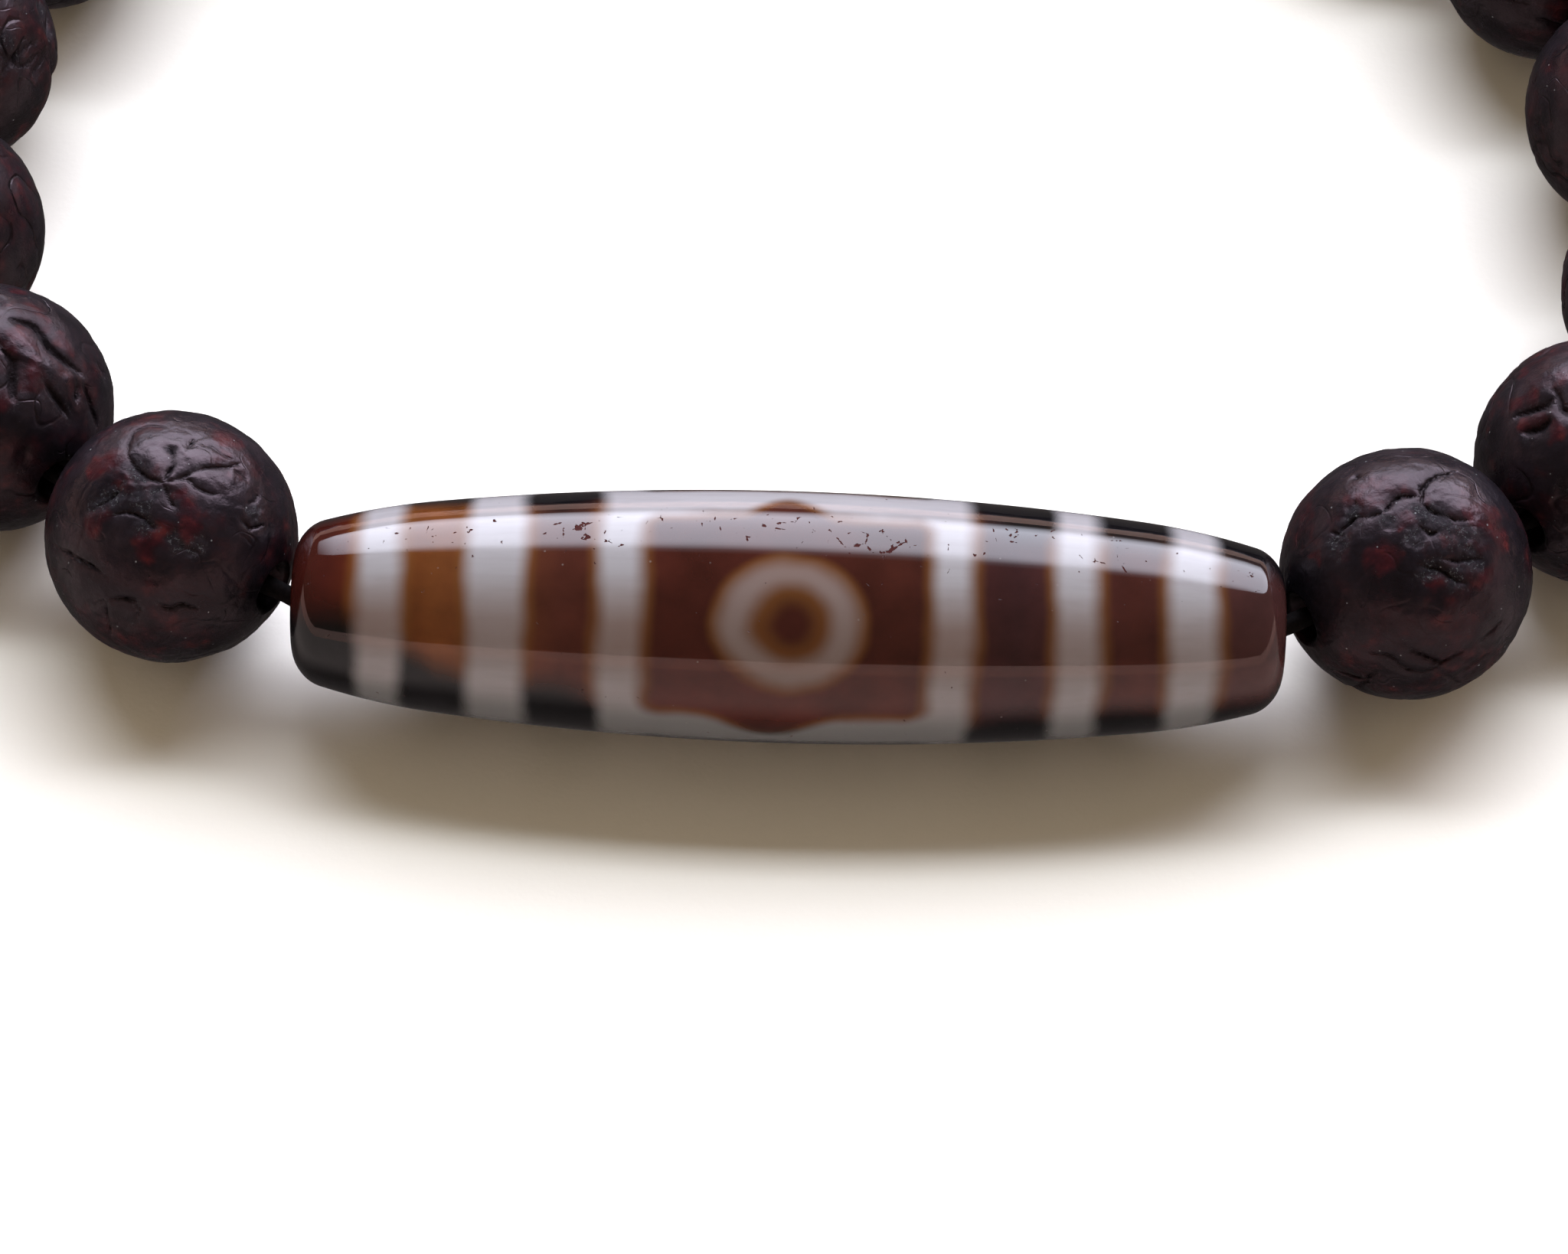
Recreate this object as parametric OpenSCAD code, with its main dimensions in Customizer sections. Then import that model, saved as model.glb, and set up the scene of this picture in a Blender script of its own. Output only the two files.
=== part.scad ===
/* [Dzi bead] */
// Length of the long agate bead between its end faces
bead_len = 38.8; // [37.5:0.1:38.8]
// Diameter of the long bead at the middle
bead_d = 9.9; // [9:0.1:10]
// Radius of the long arc that the barrel follows
barrel_arc_r = 120; // [110:1:150]
// Length at each end over which the bead tapers faster
shoulder_len = 5.4; // [4:0.1:7]
// Radius of the arc that this faster taper adds
shoulder_arc_r = 33; // [28:1:60]
// Rounding of the rim at each end face
rim_r = 1.1; // [0.6:0.1:1.3]
// Bore through the long bead
bead_bore_d = 2; // [1.6:0.1:2.2]

/* [Seed beads] */
// Diameter of a round seed bead
seed_d = 10; // [9.8:0.05:10]
// Bore through a seed bead
seed_bore_d = 1.8; // [1.6:0.1:2]
// Clear gap between neighbouring seeds
seed_gap = 0.12; // [0.1:0.01:0.2]

/* [Furrows] */
// Depth of the furrows in a seed's shell, which sets their length too
furrow_depth = 0.22; // [0.1:0.01:0.25]
// Radius of a furrow's rounded bottom
furrow_r = 0.3; // [0.26:0.01:0.4]
// Furrows that radiate from a seed's star point
star_arms = 5; // [3:1:6]
// Angle at the seed's centre from the star point to the middle of each of them
arm_away = 25; // [25:1:28]

/* [Bores] */
// Width of the bevel around the mouth of a bore
mouth_bevel = 0.2; // [0.1:0.05:0.3]

/* [Loop] */
// Distance along the long bead from its middle to the first seed on the right
right_seed_along = 24.38; // [24.38:0.01:24.7]
// The same distance to the first seed on the left
left_seed_along = 24.5; // [24.38:0.01:24.7]
// How far behind the long bead's axis the first seeds sit
first_seed_back = 3.1; // [3.1:0.1:3.4]
// Seeds on the arc that closes the loop at the back
back_seeds = 9; // [8:1:10]

/* [Cord] */
// Diameter of the elastic cord
cord_d = 0.8; // [0.6:0.1:1]
// Sides of the cord's round section
cord_sides = 12; // [8:1:16]

/* [Hidden] */
$fn = 96;
overcut = 1;

// Columns of a point and of a side step
X = 0;
Y = 1;
RIGHT = 0;
LEFT = 1;

// Steps from the first seed to the fourth on each side, front to back.
// Each row: bearing on the right, bearing on the left, in degrees from the long bead's axis
side_steps = [
    [37, 38.5],
    [66, 68],
    [95, 87],
];
// Directions of the bores of those four seeds, in the same columns
side_bores = [
    [30, 30],
    [48, 49],
    [82, 84],
    [104, 96],
];

// Furrows away from the star point, on a seed whose star point is on top and bore along X.
// Each row: angle from the star point, angle around it, direction of the furrow there
lone_furrows = [
    [70, 90, 20],
    [70, 270, 75],
    [112, 60, 60],
    [114, 120, 120],
    [110, 240, 40],
    [116, 300, 100],
    [160, 30, 80],
    [150, 200, 20],
];
AWAY = 0;
AROUND = 1;
ALONG = 2;
// How far each seed of the loop is rolled around its bore, its star point going outwards
seed_rolls = [6, 38, -25, 70, 15, -60, 120, 40, -15, 95, -40, 160, 25, -75, 50, 24, 11];

pitch = seed_d + seed_gap;
back_steps = back_seeds + 1;
string_z = max(seed_d, bead_d) / 2;

// Point reached from p by one pitch along bearing b
function step(p, b) = p + pitch * [cos(b), sin(b)];

// Points met from p by taking each bearing in turn
function walk(p, bearings, i = 0) =
    i == len(bearings) ? [p] : concat([p], walk(step(p, bearings[i]), bearings, i + 1));

function mirrored(points) = [for (p = points) [-p[X], p[Y]]];

function reversed(list) = [for (i = [len(list) - 1:-1:0]) list[i]];

function bearing(from, to) = atan2(to[Y] - from[Y], to[X] - from[X]);

right_first = [right_seed_along, first_seed_back];
left_first = [left_seed_along, first_seed_back];
right_side = walk(right_first, [for (row = side_steps) row[RIGHT]]);
left_side = mirrored(walk(left_first, [for (row = side_steps) row[LEFT]]));
right_last = right_side[len(side_steps)];
left_last = left_side[len(side_steps)];

// Pitches that the back arc spans when each step turns by this angle
function arc_span(turn) = sin(back_steps * turn / 2) / sin(turn / 2);

// Turn at which the back arc just joins the two sides, by halving the range
function fitting_turn(span, low, high, rounds = 40) =
    let (mid = (low + high) / 2)
    rounds == 0 ? mid
    : arc_span(mid) > span ? fitting_turn(span, mid, high, rounds - 1)
    : fitting_turn(span, low, mid, rounds - 1);

back_turn = fitting_turn(norm(left_last - right_last) / pitch, 1, 330 / back_steps);
back_bearings = [
    for (k = [0:back_steps - 1])
        bearing(right_last, left_last) + (k - (back_steps - 1) / 2) * back_turn
];
back_arc = walk(right_last, back_bearings);
back_places = [for (k = [1:back_seeds]) back_arc[k]];

// Seed centres around the loop, from the long bead's right end to its left end,
// in a frame whose origin is the middle of the long bead
loop_places = concat(right_side, back_places, reversed(left_side));
seed_count = len(loop_places);

// The same places moved so that the origin is below the middle of the whole loop
loop_xs = [for (p = loop_places) p[X]];
loop_ys = [for (p = loop_places) p[Y]];
loop_back = max(loop_ys) + seed_d / 2;
loop_middle = [(max(loop_xs) + min(loop_xs)) / 2, (loop_back - bead_d / 2) / 2];
seed_places = [for (p = loop_places) p - loop_middle];
bead_place = -loop_middle;

// Bore directions around the loop: a seed at the back is drilled midway between its two steps
right_bores = [for (row = side_bores) row[RIGHT]];
back_bores = [for (k = [1:back_seeds]) (back_bearings[k - 1] + back_bearings[k]) / 2];
left_bores = reversed([for (row = side_bores) -row[LEFT]]);
bore_bearings = concat(right_bores, back_bores, left_bores);

// Route of the cord: straight through each bore, then across to the next one
seed_hold = seed_d / 2 - 1;
bead_hold = [bead_len / 2 - 0.4, 0];
seed_route = [
    for (i = [0:seed_count - 1], side = [-1, 1])
        seed_places[i] + side * seed_hold * [cos(bore_bearings[i]), sin(bore_bearings[i])]
];
cord_route = concat([bead_place + bead_hold], seed_route, [bead_place - bead_hold]);

// How far an arc of radius r has dropped at distance x from its top
function arc_drop(x, r) = r - sqrt(r * r - x * x);

// Outer radius of the long bead at distance x from its middle, before the rim is rounded
shoulder_x = bead_len / 2 - shoulder_len;
function barrel_r(x) =
    bead_d / 2 - arc_drop(x, barrel_arc_r) - arc_drop(max(0, x - shoulder_x), shoulder_arc_r);

// Half outline of the long bead, from the middle to the right end face
rim_x = bead_len / 2 - rim_r;
barrel_stations = 18;
half_outline = concat(
    [for (i = [0:barrel_stations - 1]) let (x = rim_x * i / barrel_stations) [barrel_r(x), x]],
    [for (a = [0:10:90]) let (x = rim_x + rim_r * sin(a)) [barrel_r(x) - rim_r * (1 - cos(a)), x]]
);
other_half = [for (i = [len(half_outline) - 1:-1:1]) [half_outline[i][X], -half_outline[i][Y]]];

// A bore along the Z axis with a bevelled mouth at distance mouth_z each way
module bevelled_bore(d, mouth_z) {
    depth = mouth_bevel + overcut;
    cylinder(h = 2 * (mouth_z + overcut), d = d, center = true);
    for (side = [0, 1])
        mirror([0, 0, side])
        translate([0, 0, mouth_z - mouth_bevel])
        cylinder(h = depth, r1 = d / 2, r2 = d / 2 + depth);
}

module dzi_bead() {
    color("#4a2016")
    translate([bead_place[X], bead_place[Y], string_z])
    rotate([0, 90, 0])
    difference() {
        rotate_extrude()
            polygon(concat([[0, -bead_len / 2]], other_half, half_outline, [[0, bead_len / 2]]));
        bevelled_bore(bead_bore_d, bead_len / 2);
    }
}

// Straight cutter that grazes the top of a seed, so that its furrow fades out at both ends
module furrow() {
    translate([0, 0, seed_d / 2 + furrow_r - furrow_depth])
    rotate([0, 90, 0])
    cylinder(h = seed_d, r = furrow_r, center = true);
}

// All the furrows of a seed, with a round pit at the star point
module furrows() {
    translate([0, 0, seed_d / 2 + furrow_r - furrow_depth])
        sphere(r = furrow_r);
    for (arm = [0:star_arms - 1])
        rotate([0, arm_away, 360 * (arm + 0.5) / star_arms])
        furrow();
    for (row = lone_furrows)
        rotate([0, row[AWAY], row[AROUND]])
        rotate([0, 0, row[ALONG]])
        furrow();
}

// One seed bead, drilled along the X axis
module drilled_seed() {
    mouth_r = seed_bore_d / 2 + mouth_bevel;
    difference() {
        sphere(d = seed_d);
        rotate([0, 90, 0])
            bevelled_bore(seed_bore_d, sqrt(pow(seed_d / 2, 2) - mouth_r * mouth_r));
        furrows();
    }
}

module seed(number) {
    place = seed_places[number - 1];
    color("#3a2a30")
    translate([place[X], place[Y], string_z])
    rotate([seed_rolls[(number - 1) % len(seed_rolls)], 0, bore_bearings[number - 1]])
    drilled_seed();
}

// Ring of points around the cord where it passes the route's point i, square to its run
function cord_ring(i) =
    let (
        count = len(cord_route),
        before = cord_route[(i + count - 1) % count],
        here = cord_route[i],
        after = cord_route[(i + 1) % count],
        ahead = (here - before) / norm(here - before) + (after - here) / norm(after - here),
        across = [ahead[Y], -ahead[X]] / norm(ahead)
    )
    [
        for (k = [0:cord_sides - 1])
            let (a = 360 * k / cord_sides, out = cord_d / 2 * cos(a))
            [here[X] + out * across[X], here[Y] + out * across[Y], string_z + cord_d / 2 * sin(a)]
    ];

module elastic_cord() {
    rings = len(cord_route);
    color("#2b1714")
    polyhedron(
        points = [for (i = [0:rings - 1]) each cord_ring(i)],
        faces = [
            for (i = [0:rings - 1], k = [0:cord_sides - 1])
                let (here = i * cord_sides, next = (i + 1) % rings * cord_sides, k2 = (k + 1) % cord_sides)
                [here + k, here + k2, next + k2, next + k]
        ]
    );
}

function seed_name(number) = str("seed_", number < 10 ? "0" : "", number);

dzi_bead();
for (n = [1:seed_count])
    seed(n);
elastic_cord();
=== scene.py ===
"""Dzi bead bracelet: a long banded agate bead between wrinkled dark seeds, on one elastic cord."""

import math
import random

import bmesh
import bpy
import numpy as np
from mathutils import Matrix, Vector, kdtree, noise


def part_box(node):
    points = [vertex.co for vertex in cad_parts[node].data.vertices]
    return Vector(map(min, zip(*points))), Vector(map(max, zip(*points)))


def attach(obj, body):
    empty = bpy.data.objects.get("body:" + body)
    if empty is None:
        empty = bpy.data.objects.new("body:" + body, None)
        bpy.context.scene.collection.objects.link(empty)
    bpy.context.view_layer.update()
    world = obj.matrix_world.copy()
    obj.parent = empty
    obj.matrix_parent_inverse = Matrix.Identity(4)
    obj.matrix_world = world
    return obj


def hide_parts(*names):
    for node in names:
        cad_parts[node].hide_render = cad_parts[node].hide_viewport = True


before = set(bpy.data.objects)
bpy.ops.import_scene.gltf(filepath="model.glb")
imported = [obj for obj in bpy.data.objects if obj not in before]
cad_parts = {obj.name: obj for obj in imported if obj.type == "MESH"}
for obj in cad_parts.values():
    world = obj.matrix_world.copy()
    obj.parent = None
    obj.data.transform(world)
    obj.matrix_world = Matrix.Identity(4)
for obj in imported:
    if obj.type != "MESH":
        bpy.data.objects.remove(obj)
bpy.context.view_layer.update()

MM = 0.001

# Photograph's view of the long bead, with the width and focal length of the picture in pixels
VIEW_AZIMUTH = math.radians(-0.18)
VIEW_ELEVATION = math.radians(52.66)
VIEW_ROLL = math.radians(1.88)
VIEW_DISTANCE = 211.8 * MM
VIEW_CENTRE = Vector((-0.155, -0.494, 0)) * MM
IMAGE_W = 2048
FOCAL_PIXELS = 7055.7
SENSOR_W = 36
CLIP_NEAR = 0.01
CLIP_FAR = 20

# Long bead in millimetres, as it is turned in the part's source
BEAD_LEN = 38.8
BEAD_D = 9.9
BARREL_ARC_R = 120
SHOULDER_LEN = 5.4
SHOULDER_ARC_R = 33
RIM_R = 1.1
BEAD_BORE_R = 1.0
BEAD_SIDES = 256
BARREL_STATIONS = 30
# Degrees of the rounded rim from one ring to the next
RIM_STEP = 10

# Seeds and cord, in the same units
SEED_R = 5.0
SEED_BORE_R = 0.9
MOUTH_BEVEL = 0.2
CORD_R = 0.4
# How far the cord runs straight each way from the middle of a seed and of the long bead
SEED_HOLD = 4.0
BEAD_HOLD = BEAD_LEN / 2 - 0.4

SEED_NAMES = [f"seed_{number:02d}" for number in range(1, 18)]


def deselect_all():
    for thing in bpy.context.selected_objects:
        thing.select_set(False)


def make_active(thing):
    deselect_all()
    thing.select_set(True)
    bpy.context.view_layer.objects.active = thing


def select_in_edit_mode(thing, kind, wanted):
    """Selects the vertices, edges or faces of a mesh in edit mode for which wanted(element) is true."""
    bpy.ops.mesh.select_all(action="DESELECT")
    bpy.ops.mesh.select_mode(type={"verts": "VERT", "edges": "EDGE", "faces": "FACE"}[kind])
    mesh = bmesh.from_edit_mesh(thing.data)
    for element in getattr(mesh, kind):
        if wanted(element):
            element.select_set(True)
    bmesh.update_edit_mesh(thing.data)


def finish_piece(piece, material, slot, *nodes):
    """Gives a piece its finish and lets it stand for its solids in the frame."""
    piece.data.materials.clear()
    piece.data.materials.append(material)
    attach(piece, "root")
    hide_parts(*nodes)


def linear(colour):
    """Linear RGBA of a six-digit sRGB hex colour."""
    shares = [int(colour[i:i + 2], 16) / 255 for i in (1, 3, 5)]
    return [c / 12.92 if c <= 0.04045 else ((c + 0.055) / 1.055) ** 2.4 for c in shares] + [1]


def add(tree, kind, *values, **settings):
    """Adds a shader node. Values fill its inputs in order, a setting with a capital the one it names."""
    made = tree.nodes.new("ShaderNode" + kind)
    wanted = dict(enumerate(values))
    for name, value in settings.items():
        if name[0].isupper():
            wanted[name.replace("_", " ")] = value
        else:
            setattr(made, name, value)
    sockets = [s for s in made.inputs if s.enabled]
    for name, value in wanted.items():
        socket = sockets[name] if isinstance(name, int) else next(s for s in sockets if s.name == name)
        if isinstance(value, bpy.types.Node):
            value = next(s for s in value.outputs if s.enabled)
        if isinstance(value, bpy.types.NodeSocket):
            tree.links.new(value, socket)
        else:
            socket.default_value = value
    return made


# Setting of a Map Range node whose result eases in and out
SMOOTH = {"interpolation_type": "SMOOTHSTEP"}


def distance_from(tree, value, middle):
    """How far a shader's value lies from a middle one, either way."""
    away = add(tree, "Math", value, middle, operation="SUBTRACT")
    return add(tree, "Math", away, operation="ABSOLUTE")


def fill_ramp(node, stops):
    """Sets a colour ramp's stops from (place, hex colour or grey share) pairs."""
    elements = node.color_ramp.elements
    while len(elements) > 1:
        elements.remove(elements[-1])
    for i, (place, colour) in enumerate(stops):
        stop = elements[0] if i == 0 else elements.new(place)
        stop.position = place
        stop.color = linear(colour) if isinstance(colour, str) else (colour, colour, colour, 1)


def new_material(name):
    made = bpy.data.materials.new(name)
    made.use_nodes = True
    made.node_tree.nodes.clear()
    return made, made.node_tree


# Camera

bead_low, bead_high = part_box("dzi_bead")
BEAD_CENTRE = (bead_low + bead_high) / 2


def make_camera():
    back = Vector((
        math.sin(VIEW_AZIMUTH) * math.cos(VIEW_ELEVATION),
        -math.cos(VIEW_AZIMUTH) * math.cos(VIEW_ELEVATION),
        math.sin(VIEW_ELEVATION),
    ))
    level = Vector((math.cos(VIEW_AZIMUTH), math.sin(VIEW_AZIMUTH), 0))
    upright = back.cross(level)
    right = level * math.cos(VIEW_ROLL) + upright * math.sin(VIEW_ROLL)
    up = back.cross(right)
    data = bpy.data.cameras.new("photo_view")
    data.sensor_width = SENSOR_W
    data.sensor_fit = "HORIZONTAL"
    data.lens = SENSOR_W * FOCAL_PIXELS / IMAGE_W
    data.clip_start = CLIP_NEAR
    data.clip_end = CLIP_FAR
    camera = bpy.data.objects.new("photo_view", data)
    camera.matrix_world = Matrix((right, up, back)).transposed().to_4x4()
    camera.location = BEAD_CENTRE + VIEW_CENTRE + back * VIEW_DISTANCE
    bpy.context.scene.collection.objects.link(camera)
    bpy.context.scene.camera = camera


# Light and floor

# Lights around the bracelet. Each row: name, shape, middle (azimuth from +Y, elevation) and half width
# each way, in degrees as seen from the long bead, then radiance and colour
SOFTBOX = ("softbox", "ELLIPSE", (8.5, 42.5), (41.5, 27.5), 6.8, (0.93, 0.96, 1.12))
# Share of the softbox's radiance from its low edge to its high one
SOFTBOX_SHARES = [
    (0.0, 0.06), (0.04, 0.2), (0.1, 0.58), (0.2, 1.0), (0.54, 0.88),
    (0.73, 0.84), (0.8, 0.7), (0.86, 0.38), (0.92, 0.08), (1.0, 0.0),
]
# Place across the softbox, from 0 at its right end to 1 at its left one, where it starts to fade out
SOFTBOX_FADE_FROM = 0.78
# Bounce from the ceiling and the side walls, too spread out in the room for the polish to mirror it
BOUNCES = [
    ("ceiling_bounce", "RECTANGLE", (0, 62), (28, 5), 11.0, (0.94, 1.0, 1.06)),
    ("left_bounce", "RECTANGLE", (-90, 33), (45, 28), 0.5, (1.0, 0.84, 0.58)),
    ("right_bounce", "RECTANGLE", (90, 33), (45, 28), 0.5, (1.0, 0.84, 0.58)),
]
LIGHT_DISTANCE = 1.2
# Light from the rest of the room: above the horizon, from the floor close by and from its bright far part
ROOM_LIGHT = (0.10, 0.083, 0.065, 1)
NEAR_FLOOR_LIGHT = (0.07, 0.06, 0.058, 1)
FAR_FLOOR_LIGHT = (0.52, 0.44, 0.42, 1)


def make_light(name, shape, middle, half, radiance, colour):
    azimuth, elevation = (math.radians(angle) for angle in middle)
    direction = Vector((
        math.sin(azimuth) * math.cos(elevation),
        math.cos(azimuth) * math.cos(elevation),
        math.sin(elevation),
    ))
    data = bpy.data.lights.new(name, "AREA")
    data.shape = shape
    data.size = 2 * LIGHT_DISTANCE * math.tan(math.radians(half[0]))
    data.size_y = 2 * LIGHT_DISTANCE * math.tan(math.radians(half[1]))
    filled = math.pi / 4 if shape == "ELLIPSE" else 1
    data.energy = radiance * math.pi * data.size * data.size_y * filled
    data.color = colour
    light = bpy.data.objects.new(name, data)
    light.location = BEAD_CENTRE + direction * LIGHT_DISTANCE
    light.rotation_euler = direction.to_track_quat("Z", "Y").to_euler()
    light.visible_camera = False
    bpy.context.scene.collection.objects.link(light)
    return light


def make_lights():
    softbox = make_light(*SOFTBOX)
    softbox.data.use_nodes = True
    tree = softbox.data.node_tree
    tree.nodes.clear()
    face = add(tree, "SeparateXYZ", add(tree, "NewGeometry").outputs["Parametric"])
    shares = add(tree, "ValToRGB", face.outputs["Y"])
    fill_ramp(shares, SOFTBOX_SHARES)
    left_fade = add(tree, "MapRange", face.outputs["X"], 1.0, SOFTBOX_FADE_FROM, 0.0, 1.0, **SMOOTH)
    add(tree, "OutputLight", add(tree, "Emission", shares, left_fade))
    for row in BOUNCES:
        make_light(*row).visible_glossy = False


def make_room():
    """Rest of the room: dim and warm, with the far floor's glow for the polish to mirror."""
    world = bpy.data.worlds.new("room")
    world.use_nodes = True
    tree = world.node_tree
    tree.nodes.clear()
    direction = add(tree, "SeparateXYZ", add(tree, "TexCoord").outputs["Generated"])
    height = direction.outputs["Z"]
    depth = direction.outputs["Y"]
    below = add(tree, "Math", height, 0.0, operation="LESS_THAN")
    farness = add(tree, "MapRange", height, -0.88, -0.5, 0.0, 1.0, **SMOOTH)
    in_front = add(tree, "MapRange", depth, 0.35, -0.1, 0.0, 1.0, **SMOOTH)
    glow_share = add(tree, "Math", farness, in_front, operation="MULTIPLY")
    floor_glow = add(tree, "Mix", glow_share, A=NEAR_FLOOR_LIGHT, B=FAR_FLOOR_LIGHT, data_type="RGBA")
    glow = add(tree, "Mix", below, A=ROOM_LIGHT, B=floor_glow, data_type="RGBA")
    add(tree, "OutputWorld", add(tree, "Background", glow))
    bpy.context.scene.world = world


def matt_card(name, colour, grain_mm):
    """Uncoated card of one linear colour: matt, with a fine tooth that shows only in raking light."""
    material, tree = new_material(name)
    place = add(tree, "TexCoord")
    grain = add(tree, "TexNoise", place.outputs["Object"], Scale=1 / (grain_mm * MM), Detail=4)
    tooth = add(tree, "Bump", Height=grain, Strength=0.25, Distance=0.05 * MM)
    card = add(tree, "BsdfPrincipled", Base_Color=colour, Roughness=0.9, Normal=tooth)
    card.inputs["Specular IOR Level"].default_value = 0.2
    add(tree, "OutputMaterial", card)
    return material


# Floor and the low wall around it, in metres
FLOOR_HALF = 1.5
WALL_R = 1.05
WALL_H = 0.2
WALL_SIDES = 96


def make_floor():
    deselect_all()
    bpy.ops.mesh.primitive_plane_add(size=2 * FLOOR_HALF, location=(0, 0, 0))
    floor = bpy.context.object
    floor.name = "floor"
    floor.data.materials.append(matt_card("cream_card", linear("#f6f1e9"), grain_mm=0.4))
    # The photo's blacks are too deep for a white floor mirrored in the polish
    floor.visible_glossy = False
    deselect_all()
    bpy.ops.mesh.primitive_cylinder_add(
        vertices=WALL_SIDES, radius=WALL_R, depth=WALL_H, end_fill_type="NOTHING",
        location=(0, 0, WALL_H / 2))
    wall = bpy.context.object
    wall.name = "low_wall"
    bpy.ops.object.transform_apply(location=True, rotation=True, scale=True)
    wall.data.materials.append(matt_card("blush_card", linear("#d4b4a8"), grain_mm=2))


bpy.context.scene.view_settings.view_transform = "Standard"
make_camera()
make_lights()
make_room()
make_floor()


# Long bead

def arc_drop(x, r):
    """How far an arc of radius r has dropped at distance x from its top."""
    return r - math.sqrt(r * r - x * x)


def barrel_r(x):
    """Outer radius of the long bead at distance x from its middle, before the rim is rounded."""
    shoulder = max(0, x - (BEAD_LEN / 2 - SHOULDER_LEN))
    return BEAD_D / 2 - arc_drop(x, BARREL_ARC_R) - arc_drop(shoulder, SHOULDER_ARC_R)


def half_outline():
    """Points (distance from the middle, radius) from the middle of the long bead to its end face."""
    rim_x = BEAD_LEN / 2 - RIM_R
    stations = [rim_x * i / BARREL_STATIONS for i in range(BARREL_STATIONS)]
    barrel = [(x, barrel_r(x)) for x in stations]
    rim = []
    for angle in range(0, 90 + RIM_STEP, RIM_STEP):
        x = rim_x + RIM_R * math.sin(math.radians(angle))
        rim.append((x, barrel_r(x) - RIM_R * (1 - math.cos(math.radians(angle)))))
    return barrel + rim


def turn_rings(rings):
    """Carries the selected ring of a mesh in edit mode along X, through (x, radius) steps."""
    at_x, at_r = rings[0]
    for x, r in rings[1:]:
        outwards = ((x - at_x) * MM, 0, 0)
        bpy.ops.mesh.extrude_region_move(TRANSFORM_OT_translate={"value": outwards})
        bpy.ops.transform.resize(value=(1, r / at_r, r / at_r), center_override=(x * MM, 0, 0))
        at_x, at_r = x, r


def model_bead():
    """Turns the long bead from a ring at its left bore mouth, over the barrel and back through the bore."""
    half = half_outline()
    mouth_r = BEAD_BORE_R + MOUTH_BEVEL
    end_x = BEAD_LEN / 2
    rings = [(-end_x, mouth_r)]
    rings += [(-x, r) for x, r in reversed(half)]
    rings += half[1:]
    rings += [(end_x, mouth_r), (end_x - MOUTH_BEVEL, BEAD_BORE_R), (MOUTH_BEVEL - end_x, BEAD_BORE_R)]
    deselect_all()
    bpy.ops.mesh.primitive_circle_add(
        vertices=BEAD_SIDES, radius=mouth_r * MM, location=(-end_x * MM, 0, 0),
        rotation=(0, math.pi / 2, 0))
    bead = bpy.context.object
    bead.name = "dzi_agate_bead"
    bpy.ops.object.transform_apply(location=True, rotation=True, scale=True)
    bpy.ops.object.mode_set(mode="EDIT")
    bpy.ops.mesh.select_all(action="SELECT")
    turn_rings(rings)

    def on_open_edge(edge):
        return len(edge.link_faces) == 1

    select_in_edit_mode(bead, "edges", on_open_edge)
    bpy.ops.mesh.bridge_edge_loops()
    bpy.ops.mesh.select_all(action="SELECT")
    bpy.ops.mesh.normals_make_consistent(inside=False)
    bpy.ops.object.mode_set(mode="OBJECT")
    bead.location = BEAD_CENTRE
    bpy.ops.object.transform_apply(location=True, rotation=True, scale=True)
    bpy.ops.object.shade_smooth_by_angle(angle=math.radians(35))
    return bead


# Etched pattern of the agate along its length, as the photo shows it, in millimetres from the middle.
# Each row: left edge of a white band, right edge
WHITE_BANDS = [(-16.7, -15.0), (-12.45, -10.2), (-7.35, 7.05), (10.3, 12.0), (14.7, 16.6)]
# Each row: place, colour where the stone is brown, lowest and highest angle of the brown face around it
BROWN_FACE = [
    (-19.4, "#2e100c", -16, 80),
    (-17.8, "#38130e", -10, 78),
    (-17.2, "#451a0f", -9, 78),
    (-16.8, "#58290f", -11, 78),
    (-13.7, "#60361a", -37, 74),
    (-8.8, "#45221a", -40, 56),
    (-4.5, "#3a1812", -64, 84),
    (4.5, "#3a1a14", -66, 84),
    (8.7, "#311b1c", -52, 50),
    (13.4, "#3e1e19", -50, 52),
    (18.0, "#37201f", -60, 50),
]
# How much browner the white is drawn on each band. Each row: place, share
BROWNER_BANDS = [(-15.9, 0.95), (-11.3, 0.7), (-6.5, 1.0), (6.3, 1.0), (11.2, 0.75), (15.7, 0.5)]
PANEL_MIDDLE = -0.07
PANEL_HALF_LEN = 5.56
PANEL_HALF_WIDTH = 4.6
PANEL_CORNER_R = 0.85
# Swellings of the panel's two long edges. Each row: side, place of the top, half width, height
PANEL_SWELLINGS = [(1, 0.0, 2.0, 1.15), (-1, -0.55, 2.9, 1.2)]
SIDE_GAP_FROM = 6.95
SIDE_GAP_CORNER_R = 0.4
# The pattern is rolled around the bead so that the eye looks at the camera
EYE_LEAN = math.pi / 2 - VIEW_ELEVATION
EYE_CENTRE = (0.04, -0.27, 0)
EYE_RING_R = 2.11
EYE_RING_HALF_WIDTH = 0.53
# The ring is a little flatter than round
EYE_STRETCH = (1, 1.07, 1)
# Farthest that the ramp along the bead tells the distance from a band's edge
RAMP_REACH = 1.0
# Clusters of opened cracks, and the belt around the bead that holds most of them.
# Each row: place along the bead, place around it from the eye, strength
CRACK_CLUSTERS = [(3.2, 3.3, 0.23), (8.85, 4.2, 0.15), (-8.5, 3.75, 0.14), (-1.7, 3.75, 0.15)]
CRACK_BELT = 3.6


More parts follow.
